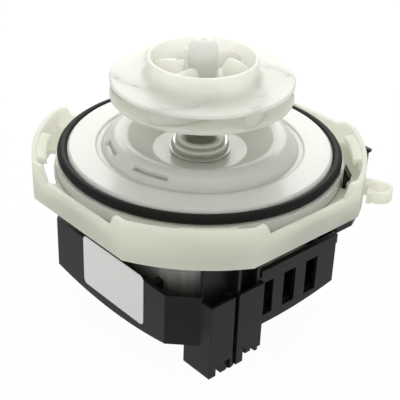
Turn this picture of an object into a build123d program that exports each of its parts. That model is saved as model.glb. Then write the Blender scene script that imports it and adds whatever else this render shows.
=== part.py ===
from build123d import *
from math import cos, pi, radians, sin, sqrt
import os

# Circulation pump of a dishwasher: a closed impeller on a vertical shaft above a
# bayonet flange, driven by an asynchronous motor in an open black frame.
# +Z points up the shaft to the impeller, +X out of the face with the air slots,
# -Y out of the face that carries the bare rating plate.
# The origin is on the shaft axis, on the shoulder that carries the sealing ring.

# Clearances
fit_gap = 0.05
running_gap = 0.03
air_gap = 0.4
seat_gap = 0.3
press_gap = 0.2
cut_over = 1.0

# Shares of a round corner and of a bevel
arc_middle_share = 1 - sqrt(2) / 2
bevel_share = 2 - sqrt(2)

# Cover plate
spigot_radius = 64.0
spigot_wall = 2.4
shoulder_width = 5.1
ring_land_radius = spigot_radius - shoulder_width
plate_edge_z = 4.8
plate_edge_round = 1.0
plate_thickness = 2.4
step_radius = 46.7
step_height = 0.5
groove_radius = 44.8
groove_depth = 0.9
groove_width = 1.2
swell_outer_radius = 43.8
swell_crest_radius = 38.2
swell_top_z = 9.4
lip_radius = 32.3
funnel_radius = 21.0
funnel_z = 1.6
seal_floor_radius = 16.0
seal_bore_radius = 11.4
slot_angles = (-122.5, -84.5, 57.5, 95.5)
slot_span_angles = (20.0, 24.0, 20.0, 24.0)
slot_radius = 41.0
slot_width = 2.2
slot_depth = 2.0

# Sealing ring
ring_section = 4.3
ring_stretch_gap = 0.1

# Bayonet flange
flange_wall = 2.0
channel_width = 2.1
flange_flat = spigot_radius + channel_width + flange_wall
flange_flat_half = 30.9
corner_bulge = 5.9
flange_corner_radius = flange_flat + corner_bulge
flange_floor_z = -5.8
flange_floor = 2.0
floor_ledge = 6.0
flange_floor_inner_radius = spigot_radius - floor_ledge
skirt_height = 7.8
flange_foot_z = flange_floor_z - skirt_height
low_wall_height = 3.8
far_wall_height = 8.3
corner_wall_height = 10.1
flange_corner_z = flange_floor_z + corner_wall_height
low_wall_half = 22.1
corner_end_slope = 4.0
lug_half_angle = 9.5
lug_offset_angle = 6.2
lug_gap = 4.0
lug_inner_radius = spigot_radius + lug_gap
lug_root_drop = 0.3
lug_tip_drop = 1.6
lug_thickness = 1.6
lug_lip = 1.2
pocket_gap = 0.9
pocket_inner_radius = spigot_radius + pocket_gap
pocket_before_angle = 0.5
pocket_after_angle = 7.4
gusset = 1.6
gusset_height = 4.0
gusset_reach = 5.0
gusset_angle = 15.0

# Cable clip on the flange
clip_angle = 33.0
clip_stand_off = 6.6
clip_center_radius = flange_corner_radius + clip_stand_off
clip_inner_radius = 4.2
clip_wall = 1.8
clip_height = 5.2
clip_top_drop = 7.7
clip_top_z = flange_corner_z - clip_top_drop
clip_mouth = 1.6
clip_end_block = 3.4

# Front bracket
bracket_rise = 1.4
bracket_top_z = flange_foot_z + bracket_rise
bracket_thickness = 3.0
bracket_bottom_z = bracket_top_z - bracket_thickness
bracket_shelf = 1.5
shelf_top_z = bracket_top_z + bracket_shelf
bracket_ring_ledge = 4.0
bracket_ring_radius = flange_floor_inner_radius + bracket_ring_ledge
bracket_ring_wall = 2.4
bracket_hub_radius = 15.0
bracket_hub_lid = 2.3
bracket_spokes = 8
spoke_width = 7.0
bracket_window_inner_radius = 20.0
window_margin = 1.8
post_radius = 4.8
post_height = 7.6
pad_inset = 1.0
pad_radius = flange_corner_radius - pad_inset
pad_half = flange_flat - pad_inset
pad_overlap = 6.0
pad_inner_radius = bracket_ring_radius - pad_overlap
pad_thickness = 3.9
pad_half_angle = 29.0
pad_angles = (45.0, 135.0)
hook_lead_angle = -11.5
hook_gap = 0.8
hook_radius = spigot_radius + hook_gap
hook_thickness = 1.6
hook_width = 4.8
hook_height = 9.2
hook_barb = 1.7
hook_barb_slope = 1.8
hook_ledge_gap = 0.3
catch_height = 2.4
catch_depth = 2.6
tee_x = 38.0
tee_gap = 1.5
tee_stem_width = 2.2
tee_thickness = 1.8
tee_y = flange_flat + tee_gap + tee_thickness / 2
tee_head_width = 5.0
tee_head_height = 1.5
tee_rise = 0.8
tee_top_z = flange_floor_z + tee_rise
tee_arm_height = 3.4

# Screws between the bracket and the cover plate
boss_circle_radius = 50.0
boss_radius = 4.2
boss_first_angle = 22.5
screw_radius = 1.8
screw_head_radius = 3.4
screw_head_height = 2.2
screw_length = 9.0
bracket_window_outer_radius = boss_circle_radius - boss_radius - window_margin

# Rotor and stator
stack_top_z = bracket_bottom_z - post_height
stack_height = 22.0
stack_bottom_z = stack_top_z - stack_height
rotor_radius = 27.0
end_ring_inset = 1.4
end_ring_outer_radius = rotor_radius - end_ring_inset
end_ring_width = 8.1
end_ring_inner_radius = end_ring_outer_radius - end_ring_width
end_ring_height = 3.2
end_ring_fins = 10
fin_length = 5.0
fin_width = 1.6
fin_height = 1.6
stack_half = 45.0
stack_corner = 12.0
yoke_width = 8.0
yoke_corner = 11.5
pole_width = 20.0
shoe_thickness = 3.0
shoe_half_angle = 36.0
bolt_inset = 10.2
bolt_offset = stack_half - bolt_inset
bolt_radius = 2.0
bolt_head_radius = 3.2
bolt_head_height = 2.6
bolt_bite = 5.0

# Coils
bobbin_wall = 1.0
bobbin_cheek = 1.0
coil_depth = 5.2
coil_round = 2.5
coil_margin = 0.4

# Motor frame
frame_wall = 2.0
stack_clearance = 5.0
frame_half = stack_half + stack_clearance + frame_wall
bracket_half = stack_half + stack_clearance
bracket_corner = 14.0
frame_corner = 13.4
frame_top_drop = 11.0
frame_top_z = stack_top_z - frame_top_drop
frame_height = 25.0
frame_bottom_z = frame_top_z - frame_height
frame_web = 2.0
web_top_z = frame_bottom_z + frame_web
frame_bow = 3.6
frame_bow_half = 38.0
frame_lip = 1.2
frame_lip_shallow = 0.5
frame_lip_rise = 0.8
frame_lip_top_z = frame_top_z + frame_lip_rise
frame_lip_height = 4.6
frame_lip_half = 38.6
locating_rib = 3.0
locating_rib_place = 28.0
locating_rib_height = 9.0
stiffener_count = 8
stiffener_thickness = 1.6
stiffener_reach = 34.0
stiffener_drop = 3.0
window_width = 7.4
window_pitch = 14.0
window_center = 8.9
window_drop = 6.2
window_top_z = frame_top_z - window_drop
window_height = 17.6
window_count = 3
vent_width = 3.6
vent_length = 14.0
vent_circle_radius = 25.0
vent_count = 8

# Connector blocks
block_reach = 4.0
block_outer_x = frame_half + block_reach
block_depth = 16.6
block_inner_x = block_outer_x - block_depth
block_top_depth = 8.0
block_top_inner_x = block_outer_x - block_top_depth
block_top_drop = 2.0
block_top_z = frame_top_z - block_top_drop
block_height = 37.0
block_bottom_z = block_top_z - block_height
block_wall = 1.6
block_starts = (-41.5, -25.8)
block_widths = (13.3, 14.6)
socket_depth = 14.0
pocket_depth = 12.0
key_notch_starts = (-37.6, -21.8, -21.8, -17.3)
key_notch_widths = (8.2, 10.6, 1.4, 1.2)
key_notch_heights = (5.5, 3.4, 6.9, 5.8)
latch_tab_starts = (-34.2, -29.4)
latch_tab_widths = (5.0, 4.2)
latch_tab_thickness = 2.2
latch_tab_drop = 1.6
latch_tab_height = 8.0
blade_width = 0.8
blade_depth = 4.0
blade_inset = 4.0
blade_bottom_z = block_bottom_z + blade_inset
blade_top_z = block_top_z - blade_inset
blade_counts = (2, 3)
tower_wall = 1.6
tower_start_y = -41.0
tower_end_y = -10.5
tower_rib_places = (-25.0, -14.0)
tower_rib_inset = 1.4
tower_rib_reach = block_outer_x - tower_rib_inset

# Shaft, bushes and thrust parts
shaft_radius = 4.0
shaft_chamfer = 0.6
shaft_tail = 2.5
bush_radius = 8.5
bush_length = 10.0
bush_crown = 1.2
front_bush_rise = 0.9
front_bush_z = bracket_top_z + front_bush_rise
rear_bush_drop = 5.0
rear_bush_z = web_top_z - rear_bush_drop
shaft_bottom_z = rear_bush_z - bush_length / 2 - shaft_tail
bracket_hub_top_z = front_bush_z + bush_length / 2 + bracket_hub_lid
felt_radius = 11.6
felt_thickness = 2.0
retainer_thickness = 0.8
retainer_radius = 12.6
retainer_fingers = 8
washer_radius = 7.0
washer_thickness = 0.8
bearing_boss_wall = 2.0
bearing_boss_radius = retainer_radius + bearing_boss_wall
bearing_boss_bottom_z = block_bottom_z - latch_tab_drop
blind_depth = 2.0

# Shaft seal
cup_foot_radius = 14.6
cup_bowl_radius = 12.9
cup_bowl_z = 4.6
cup_neck_radius = 10.3
cup_shoulder_z = 8.2
cup_crest_radius = 8.2
cup_crest_z = 9.3
cup_top_z = 9.8
cup_sheet = 0.7
cup_floor_z = -2.8
cup_press_radius = seal_bore_radius - press_gap
face_bore_gap = 0.3
carbon_bore = shaft_radius + face_bore_gap
face_width = 0.9
face_radius = carbon_bore + face_width
cup_top_radius = face_radius + press_gap
face_length = 7.0
face_top_z = 12.8
face_flange_radius = 8.6
face_flange = 1.6
seat_radius = 7.8
seat_length = 4.0
boot_wall = 1.2
spring_radius = 7.2
spring_wire = 0.9
spring_turns = 4

# Impeller
impeller_radius = 40.0
impeller_bottom_z = 28.4
impeller_base_thickness = 1.6
outlet_height = 5.6
shroud_thickness = 1.5
neck_inner_radius = 22.6
neck_wall = 1.5
neck_height = 8.7
neck_fillet = 3.0
nose_radius = 6.5
nose_height = 24.2
nose_round = 4.0
nose_foot_round = 2.3
nose_cap = 7.0
gate_radius = 1.0
gate_height = 0.5
hub_boss_radius = 12.4
hub_boss_top_radius = 16.0
hub_boss_overlap = 2.8
vane_count = 6
vane_thickness = 1.8
vane_root = 0.5
vane_inner_radius = nose_radius - vane_root
vane_mid_radius = 24.0
vane_tip_inset = 0.4
vane_outer_radius = impeller_radius - vane_tip_inset
vane_sweep_mid_angle = 49.0
vane_sweep_end_angle = 90.0
vane_first_angle = 18.0
vane_hub_rise = 8.6
vane_rim_rise = 2.2
weld_length = 4.2
weld_width = 2.2
weld_height = 0.35
weld_radius_shares = (0.9225, 0.7575)
weld_lead_angles = (6.5, 23.5)

# Rating plate, left bare
plate_width = 42.6
plate_height = 25.4
plate_thick = 0.25
plate_corner = 2.4
plate_center_x = 3.4
plate_rise = 1.6
plate_top_z = frame_top_z + plate_rise


def eight_corners(half, corner):
    """The corner points of a square of half width half with its corners cut off."""
    near = half - corner
    return [
        (half, -near), (half, near), (near, half), (-near, half),
        (-half, near), (-half, -near), (-near, -half), (near, -half),
    ]


def side_plane(turn, distance, height):
    """An upright plane that faces outwards on one of the four sides."""
    angle = radians(90 * turn)
    return Plane(
        origin=(distance * cos(angle), distance * sin(angle), height),
        x_dir=(-sin(angle), cos(angle), 0),
        z_dir=(cos(angle), sin(angle), 0),
    )


def upright_plane(degrees):
    """An upright plane through the shaft axis, with its first axis pointing outwards."""
    angle = radians(degrees)
    return Plane(origin=(0, 0, 0), x_dir=(cos(angle), sin(angle), 0), z_dir=(sin(angle), -cos(angle), 0))


def revolved(points):
    """Turn a closed outline of (radius, height) points about the shaft axis."""
    with BuildPart() as turned:
        with BuildSketch(Plane.XZ):
            with BuildLine():
                Polyline(points, close=True)
            make_face()
        revolve(axis=Axis.Z)
    return turned.part


def tube(outer, inner, bottom, top):
    """A plain ring between two radii and two heights."""
    return revolved([(inner, bottom), (outer, bottom), (outer, top), (inner, top)])


def save(solid, label):
    """Label a finished piece and write it to its own file."""
    solid.label = label
    export_step(solid, f"parts/{label}.step")


def quarter_turned(x, y, turn):
    """A point turned about the shaft axis by a number of quarter turns."""
    for _ in range(turn):
        x, y = -y, x
    return (x, y)


def wedge(start, end):
    """The corner points of a slice between two directions, wider than the flange."""
    reach = 2 * flange_corner_radius
    return [
        (0, 0),
        (reach * cos(radians(start)), reach * sin(radians(start))),
        (reach * cos(radians(end)), reach * sin(radians(end))),
    ]


os.makedirs("parts", exist_ok=True)

# Outline of the bayonet flange: four flats joined by bowed corners
corner_middle = flange_corner_radius / sqrt(2)
with BuildSketch() as flange_outer:
    with BuildLine():
        for turn in range(4):
            flat_end = quarter_turned(flange_flat, flange_flat_half, turn)
            Line(quarter_turned(flange_flat, -flange_flat_half, turn), flat_end)
            ThreePointArc(
                flat_end,
                quarter_turned(corner_middle, corner_middle, turn),
                quarter_turned(flange_flat_half, flange_flat, turn),
            )
    make_face()
with BuildSketch() as flange_inner:
    add(flange_outer.sketch_local)
    offset(amount=-flange_wall, kind=Kind.INTERSECTION, mode=Mode.REPLACE)

# Bayonet flange: low walls on the flats, tall walls at the corners, a sloped lug
# at each corner and a moulding pocket below the two lugs that have no pad below
lug_middle_angles = [45 + lug_offset_angle + 90 * turn for turn in range(4)]
with BuildPart() as bayonet_flange:
    with BuildSketch(Plane.XY.offset(flange_foot_z)):
        add(flange_outer.sketch_local)
    extrude(amount=flange_corner_z - flange_foot_z)
    with BuildSketch(Plane.XY.offset(flange_floor_z)):
        add(flange_inner.sketch_local)
    extrude(amount=flange_corner_z - flange_floor_z + cut_over, mode=Mode.SUBTRACT)
    with BuildSketch(Plane.XY.offset(flange_foot_z)):
        add(flange_inner.sketch_local)
    extrude(amount=flange_floor_z - flange_floor - flange_foot_z, mode=Mode.SUBTRACT)
    with BuildSketch(Plane.XY.offset(flange_foot_z)):
        Circle(flange_floor_inner_radius)
    extrude(amount=flange_corner_z - flange_foot_z, mode=Mode.SUBTRACT)
    # Lower walls on the flats, with sloped ends; the wall at the back stays higher
    wall_heights = (low_wall_height, far_wall_height, low_wall_height, low_wall_height)
    for turn, wall_height in enumerate(wall_heights):
        wall_z = flange_floor_z + wall_height
        with BuildSketch(side_plane(turn, 0, 0)):
            with BuildLine():
                Polyline(
                    (-low_wall_half, wall_z),
                    (low_wall_half, wall_z),
                    (low_wall_half + corner_end_slope, flange_corner_z + cut_over),
                    (-low_wall_half - corner_end_slope, flange_corner_z + cut_over),
                    close=True,
                )
            make_face()
        extrude(amount=flange_corner_radius, mode=Mode.SUBTRACT)
    # Sloped lugs with a short lip at their inner edge
    lug_root_z = flange_corner_z - lug_root_drop
    lug_tip_z = lug_root_z - lug_tip_drop
    lug_outer_radius = flange_corner_radius + flange_wall
    for middle in lug_middle_angles:
        with BuildSketch(upright_plane(middle - lug_half_angle)):
            with BuildLine():
                Polyline(
                    (lug_inner_radius, lug_tip_z),
                    (lug_outer_radius, lug_root_z),
                    (lug_outer_radius, lug_root_z - lug_thickness),
                    (lug_inner_radius + lug_thickness, lug_tip_z - lug_thickness),
                    (lug_inner_radius + lug_thickness, lug_tip_z - lug_thickness - lug_lip),
                    (lug_inner_radius, lug_tip_z - lug_thickness - lug_lip),
                    close=True,
                )
            make_face()
        revolve(axis=Axis.Z, revolution_arc=2 * lug_half_angle)
    # Gussets that tie each tall corner wall to the floor
    gusset_inner_radius = flange_corner_radius - flange_wall - gusset_reach
    for middle in lug_middle_angles:
        for lead in (-lug_half_angle - gusset_angle, lug_half_angle + gusset_angle):
            with BuildSketch(upright_plane(middle + lead)):
                with BuildLine():
                    Polyline(
                        (gusset_inner_radius, flange_floor_z),
                        (flange_corner_radius, flange_floor_z),
                        (flange_corner_radius, flange_floor_z + gusset_height),
                        close=True,
                    )
                make_face()
            extrude(amount=gusset / 2, both=True)
    # Raised catches on the floor for the snap hooks
    hook_angles = [pad_angle + hook_lead_angle for pad_angle in pad_angles]
    catch_inner_radius = hook_radius + hook_thickness + seat_gap
    for hook_angle in hook_angles:
        with BuildSketch(upright_plane(hook_angle)):
            with Locations((catch_inner_radius + catch_depth / 2, flange_floor_z + catch_height / 2)):
                Rectangle(catch_depth, catch_height)
        extrude(amount=hook_width / 2, both=True)
    # Everything on the inside ends at the outline of the flange
    with BuildSketch(Plane.XY.offset(flange_foot_z)):
        add(flange_outer.sketch_local)
    extrude(amount=flange_corner_z - flange_foot_z, mode=Mode.INTERSECT)
    # Pockets through the floor below the two lugs that have no pad below
    for middle in lug_middle_angles[2:]:
        with BuildSketch(Plane.XY.offset(flange_foot_z)):
            add(flange_inner.sketch_local)
            with BuildLine():
                Polyline(
                    wedge(
                        middle - lug_half_angle - pocket_before_angle,
                        middle + lug_half_angle + pocket_after_angle,
                    ),
                    close=True,
                )
            make_face(mode=Mode.INTERSECT)
            Circle(pocket_inner_radius, mode=Mode.SUBTRACT)
        extrude(amount=flange_floor_z - flange_foot_z, mode=Mode.SUBTRACT)
    # Slots for the snap hooks of the bracket
    for hook_angle in hook_angles:
        with BuildSketch(upright_plane(hook_angle)):
            with Locations((hook_radius + hook_thickness / 2, flange_floor_z - flange_floor / 2)):
                Rectangle(hook_thickness + 2 * seat_gap, 2 * flange_floor)
        extrude(amount=hook_width / 2 + seat_gap, both=True, mode=Mode.SUBTRACT)
    # Cable clip: a band that leaves the corner wall and curls back to it, with a
    # thicker free end and a narrow mouth beside the wall
    clip_x = clip_center_radius * cos(radians(clip_angle))
    clip_y = clip_center_radius * sin(radians(clip_angle))
    clip_outer_radius = clip_inner_radius + clip_wall
    clip_root = clip_stand_off + flange_wall / 2
    with BuildSketch(Plane.XY.offset(clip_top_z - clip_height)):
        with Locations(Location((clip_x, clip_y), clip_angle)):
            Circle(clip_outer_radius)
            with Locations((-clip_root / 2, clip_outer_radius / 2)):
                Rectangle(clip_root, clip_outer_radius)
            Circle(clip_inner_radius, mode=Mode.SUBTRACT)
            with Locations((-clip_outer_radius + clip_mouth / 2, -clip_outer_radius)):
                Rectangle(clip_mouth, 2 * clip_outer_radius, mode=Mode.SUBTRACT)
            with Locations((-clip_outer_radius + clip_mouth + clip_wall / 2, -clip_inner_radius - clip_wall / 2)):
                Rectangle(clip_wall, clip_end_block)
    extrude(amount=clip_height)
save(bayonet_flange.part, "bayonet_flange")

# Cover plate: a turned wall between the wet side and the motor
spigot_bottom = flange_floor_z
plate_under = plate_edge_z - plate_thickness
with BuildPart() as cover_plate:
    with BuildSketch(Plane.XZ):
        with BuildLine():
            upper = Polyline(
                (seal_bore_radius, funnel_z),
                (seal_floor_radius, funnel_z),
                (funnel_radius, funnel_z + step_height),
                (lip_radius, swell_top_z - step_height),
            )
            swell = ThreePointArc(
                upper @ 1,
                (swell_crest_radius, swell_top_z),
                (swell_outer_radius, plate_edge_z - groove_depth),
            )
            rim = Polyline(
                swell @ 1,
                (groove_radius + groove_width, plate_edge_z - groove_depth),
                (groove_radius + groove_width, plate_edge_z - step_height),
                (step_radius, plate_edge_z),
                (ring_land_radius - plate_edge_round, plate_edge_z),
                (ring_land_radius, plate_edge_z - plate_edge_round),
                (ring_land_radius, 0),
                (spigot_radius, 0),
                (spigot_radius, spigot_bottom),
                (spigot_radius - spigot_wall, spigot_bottom),
                (spigot_radius - spigot_wall, -plate_thickness),
                (ring_land_radius - plate_thickness, -plate_thickness),
                (ring_land_radius - plate_thickness, plate_under),
                (swell_outer_radius + plate_thickness, plate_under - step_height),
                (swell_outer_radius - plate_thickness, plate_under),
            )
            under = ThreePointArc(
                rim @ 1,
                (swell_crest_radius, swell_top_z - plate_thickness),
                (lip_radius + plate_thickness / 2, swell_top_z - plate_thickness - step_height),
            )
            Polyline(
                under @ 1,
                (funnel_radius + plate_thickness / 2, funnel_z - plate_thickness),
                (seal_bore_radius, funnel_z - plate_thickness),
                (seal_bore_radius, funnel_z),
            )
        make_face()
    revolve(axis=Axis.Z)
    # Screw bosses below the plate
    with BuildSketch(Plane.XY.offset(shelf_top_z)):
        with PolarLocations(boss_circle_radius, 4, start_angle=boss_first_angle):
            Circle(boss_radius)
    extrude(amount=plate_under - shelf_top_z)
    with BuildSketch(Plane.XY.offset(shelf_top_z)):
        with PolarLocations(boss_circle_radius, 4, start_angle=boss_first_angle):
            Circle(screw_radius + fit_gap)
    extrude(amount=screw_length, mode=Mode.SUBTRACT)
    # Curved slots in the outer flank of the raised ring
    for slot_start, slot_span in zip(slot_angles, slot_span_angles):
        with BuildSketch(upright_plane(slot_start)):
            with Locations((slot_radius, swell_top_z - slot_depth / 2)):
                Rectangle(slot_width, slot_depth + slot_width)
        revolve(axis=Axis.Z, revolution_arc=slot_span, mode=Mode.SUBTRACT)
save(cover_plate.part, "cover_plate")

# Sealing ring, seated on the shoulder of the cover plate
ring_center_radius = ring_land_radius + ring_stretch_gap + ring_section / 2
with BuildPart() as sealing_ring:
    with BuildSketch(Plane.XZ):
        with Locations((ring_center_radius, ring_section / 2)):
            Circle(ring_section / 2)
    revolve(axis=Axis.Z)
save(sealing_ring.part, "sealing_ring")

# Impeller base: lower disc, curved vanes, nose hub and the boss of the seal
base_top_z = impeller_bottom_z + impeller_base_thickness
shroud_under_z = base_top_z + outlet_height
shroud_top_z = shroud_under_z + shroud_thickness
nose_top_z = base_top_z + nose_height
shaft_top_z = nose_top_z - nose_cap
boot_outer_radius = seat_radius + boot_wall
boot_top_z = face_top_z + seat_length + boot_wall
hub_boss_bottom_z = boot_top_z - hub_boss_overlap
vane_hub_z = shroud_under_z + vane_hub_rise
vane_rim_z = shroud_under_z + vane_rim_rise


def vane_point(radius, sweep):
    """A point on a vane's middle line, swept back against the turn."""
    angle = radians(vane_first_angle - sweep)
    return (radius * cos(angle), radius * sin(angle))


dome_z = nose_top_z - gate_height
with BuildPart() as impeller_base:
    with BuildSketch(Plane.XZ):
        with BuildLine():
            flank = Polyline(
                (0, shaft_top_z + fit_gap),
                (shaft_radius + fit_gap, shaft_top_z + fit_gap),
                (shaft_radius + fit_gap, boot_top_z),
                (boot_outer_radius + fit_gap, boot_top_z),
                (boot_outer_radius + fit_gap, hub_boss_bottom_z),
                (hub_boss_radius, hub_boss_bottom_z),
                (hub_boss_top_radius, impeller_bottom_z),
                (impeller_radius, impeller_bottom_z),
                (impeller_radius, base_top_z),
                (nose_radius + nose_foot_round, base_top_z),
                (nose_radius, base_top_z + nose_foot_round),
                (nose_radius, dome_z - nose_round),
            )
            dome = ThreePointArc(
                flank @ 1,
                (nose_radius - nose_round * arc_middle_share, dome_z - nose_round * arc_middle_share),
                (nose_radius - nose_round, dome_z),
            )
            Polyline(
                dome @ 1,
                (gate_radius, dome_z),
                (gate_radius, nose_top_z),
                (0, nose_top_z),
                flank @ 0,
            )
        make_face()
    revolve(axis=Axis.Z)
    for vane in range(vane_count):
        with BuildSketch(Plane.XY.offset(base_top_z).rotated((0, 0, 360 / vane_count * vane))) as vane_foot:
            with BuildLine():
                middle_line = ThreePointArc(
                    vane_point(vane_inner_radius, 0),
                    vane_point(vane_mid_radius, vane_sweep_mid_angle),
                    vane_point(vane_outer_radius, vane_sweep_end_angle),
                )
                offset(middle_line, amount=vane_thickness / 2)
            make_face()
            Circle(vane_outer_radius, mode=Mode.INTERSECT)
        extrude(amount=outlet_height)
        with BuildSketch(Plane.XY.offset(base_top_z).rotated((0, 0, 360 / vane_count * vane))):
            add(vane_foot.sketch_local)
            Circle(neck_inner_radius - seat_gap, mode=Mode.INTERSECT)
        extrude(amount=outlet_height + vane_hub_rise)
    # Leading edges in the eye, high at the hub and low at the neck
    with BuildSketch(Plane.XZ):
        with BuildLine():
            Polyline(
                (nose_radius, vane_hub_z),
                (neck_inner_radius, vane_rim_z),
                (neck_inner_radius, vane_hub_z + cut_over),
                (nose_radius, vane_hub_z + cut_over),
                close=True,
            )
        make_face()
    revolve(axis=Axis.Z, mode=Mode.SUBTRACT)
save(impeller_base.part, "impeller_base")

# Impeller shroud: upper disc with the inlet neck and the weld spots over the vanes
neck_outer_radius = neck_inner_radius + neck_wall
neck_rim_z = shroud_top_z + neck_height
with BuildPart() as impeller_shroud:
    with BuildSketch(Plane.XZ):
        with BuildLine():
            lower = Polyline(
                (neck_outer_radius + neck_fillet, shroud_top_z),
                (impeller_radius - shroud_thickness / 3, shroud_top_z),
                (impeller_radius, shroud_top_z - shroud_thickness / 3),
                (impeller_radius, shroud_under_z),
                (neck_inner_radius, shroud_under_z),
                (neck_inner_radius, neck_rim_z),
                (neck_outer_radius - neck_wall / 4, neck_rim_z),
                (neck_outer_radius, neck_rim_z - neck_wall / 4),
                (neck_outer_radius, shroud_top_z + neck_fillet),
            )
            ThreePointArc(
                lower @ 1,
                (
                    neck_outer_radius + neck_fillet * arc_middle_share,
                    shroud_top_z + neck_fillet * arc_middle_share,
                ),
                lower @ 0,
            )
        make_face()
    revolve(axis=Axis.Z)
    for vane in range(vane_count):
        for radius_share, lead in zip(weld_radius_shares, weld_lead_angles):
            spot_angle = vane_first_angle - vane_sweep_end_angle + lead + 360 / vane_count * vane
            with BuildSketch(Plane.XY.offset(shroud_top_z).rotated((0, 0, spot_angle))):
                with Locations((radius_share * impeller_radius, 0)):
                    Ellipse(weld_width / 2, weld_length / 2)
            extrude(amount=weld_height, taper=20)
save(impeller_shroud.part, "impeller_shroud")

# Shaft
with BuildPart() as shaft:
    with BuildSketch(Plane.XY.offset(shaft_bottom_z)):
        Circle(shaft_radius)
    extrude(amount=shaft_top_z - shaft_bottom_z)
    chamfer(shaft.edges().filter_by(GeomType.CIRCLE), length=shaft_chamfer)
save(shaft.part, "shaft")

# Rotor: a laminated core with cast end rings and stub fins
rotor_bore = shaft_radius + fit_gap
rotor_core = tube(rotor_radius, rotor_bore, stack_bottom_z, stack_top_z)
save(rotor_core, "rotor_core")
for ring_name, ring_base_z, ring_side in (
    ("front_end_ring", stack_top_z, 1),
    ("rear_end_ring", stack_bottom_z, -1),
):
    with BuildPart() as end_ring:
        with BuildSketch(Plane.XY.offset(ring_base_z)):
            Circle(end_ring_outer_radius)
            Circle(end_ring_inner_radius, mode=Mode.SUBTRACT)
        extrude(amount=ring_side * end_ring_height)
        with BuildSketch(Plane.XY.offset(ring_base_z + ring_side * end_ring_height)):
            with PolarLocations((end_ring_outer_radius + end_ring_inner_radius) / 2, end_ring_fins):
                Rectangle(fin_length, fin_width)
        extrude(amount=ring_side * fin_height)
    save(end_ring.part, ring_name)

# Thrust washers on the shaft, against both bushes
front_washer_z = front_bush_z - bush_length / 2 - seat_gap - washer_thickness
rear_washer_z = rear_bush_z + bush_length / 2 + seat_gap
with BuildPart() as thrust_washers:
    for washer_z in (front_washer_z, rear_washer_z):
        with BuildSketch(Plane.XY.offset(washer_z)):
            Circle(washer_radius)
            Circle(shaft_radius + fit_gap, mode=Mode.SUBTRACT)
        extrude(amount=washer_thickness)
save(thrust_washers.part, "thrust_washers")

# Crowned bearing bushes, their oil felts and sprung retainers
for place, bush_z, side in (("front", front_bush_z, -1), ("rear", rear_bush_z, 1)):
    with BuildPart() as bush:
        with BuildSketch(Plane.XZ):
            with BuildLine():
                flank = Polyline(
                    (bush_radius - bush_crown, bush_z - bush_length / 2),
                    (shaft_radius + running_gap, bush_z - bush_length / 2),
                    (shaft_radius + running_gap, bush_z + bush_length / 2),
                    (bush_radius - bush_crown, bush_z + bush_length / 2),
                )
                ThreePointArc(flank @ 1, (bush_radius, bush_z), flank @ 0)
            make_face()
        revolve(axis=Axis.Z)
    save(bush.part, f"{place}_bush")
    felt_z = bush_z - felt_thickness / 2
    save(tube(felt_radius, bush_radius + fit_gap, felt_z, felt_z + felt_thickness), f"{place}_felt")
    retainer_z = bush_z + side * (felt_thickness / 2 + fit_gap)
    with BuildPart() as retainer:
        with BuildSketch(Plane.XY.offset(retainer_z)):
            Circle(retainer_radius - fit_gap)
            Circle(bush_radius + fit_gap, mode=Mode.SUBTRACT)
            with PolarLocations((retainer_radius + bush_radius) / 2 - retainer_thickness, retainer_fingers):
                Rectangle(bush_radius / 2, retainer_thickness, mode=Mode.SUBTRACT)
        extrude(amount=side * retainer_thickness)
    save(retainer.part, f"{place}_retainer")

# Shaft seal: pressed cup, carbon face, spring, bellows, ceramic seat and boot
with BuildPart() as seal_cup:
    with BuildSketch(Plane.XZ):
        with BuildLine():
            foot = Polyline(
                (cup_press_radius, funnel_z),
                (cup_foot_radius, funnel_z),
                (cup_foot_radius, funnel_z + cup_sheet),
                (cup_bowl_radius, funnel_z + cup_sheet),
                (cup_bowl_radius, cup_bowl_z),
            )
            shoulder = TangentArc(foot @ 1, (cup_neck_radius, cup_shoulder_z), tangent=(0, 1))
            Polyline(
                shoulder @ 1,
                (cup_crest_radius, cup_crest_z),
                (cup_top_radius, cup_top_z),
                (cup_top_radius, cup_top_z - cup_sheet),
                (cup_crest_radius, cup_crest_z - cup_sheet),
                (cup_neck_radius - cup_sheet, cup_shoulder_z - cup_sheet),
                (cup_neck_radius - cup_sheet, cup_floor_z),
                (cup_top_radius - cup_sheet, cup_floor_z),
                (cup_top_radius - cup_sheet, cup_floor_z - cup_sheet),
                (cup_press_radius, cup_floor_z - cup_sheet),
                foot @ 0,
            )
        make_face()
    revolve(axis=Axis.Z)
save(seal_cup.part, "seal_cup")

with BuildPart() as seal_face:
    with BuildSketch(Plane.XZ):
        with BuildLine():
            Polyline(
                (carbon_bore, face_top_z - face_length),
                (face_flange_radius, face_top_z - face_length),
                (face_flange_radius, face_top_z - face_length + face_flange),
                (face_radius, face_top_z - face_length + face_flange),
                (face_radius, face_top_z),
                (carbon_bore, face_top_z),
                close=True,
            )
        make_face()
    revolve(axis=Axis.Z)
save(seal_face.part, "seal_face")

spring_bottom_z = cup_floor_z + spring_wire / 2
spring_top_z = face_top_z - face_length - spring_wire / 2
with BuildPart() as seal_spring:
    with BuildLine():
        Helix(
            pitch=(spring_top_z - spring_bottom_z) / spring_turns,
            height=spring_top_z - spring_bottom_z,
            radius=spring_radius,
            center=(0, 0, spring_bottom_z),
        )
    with BuildSketch(Plane(origin=(spring_radius, 0, spring_bottom_z), x_dir=(1, 0, 0), z_dir=(0, 1, 0))):
        Circle(spring_wire / 2)
    sweep(is_frenet=True)
save(seal_spring.part, "seal_spring")

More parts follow.
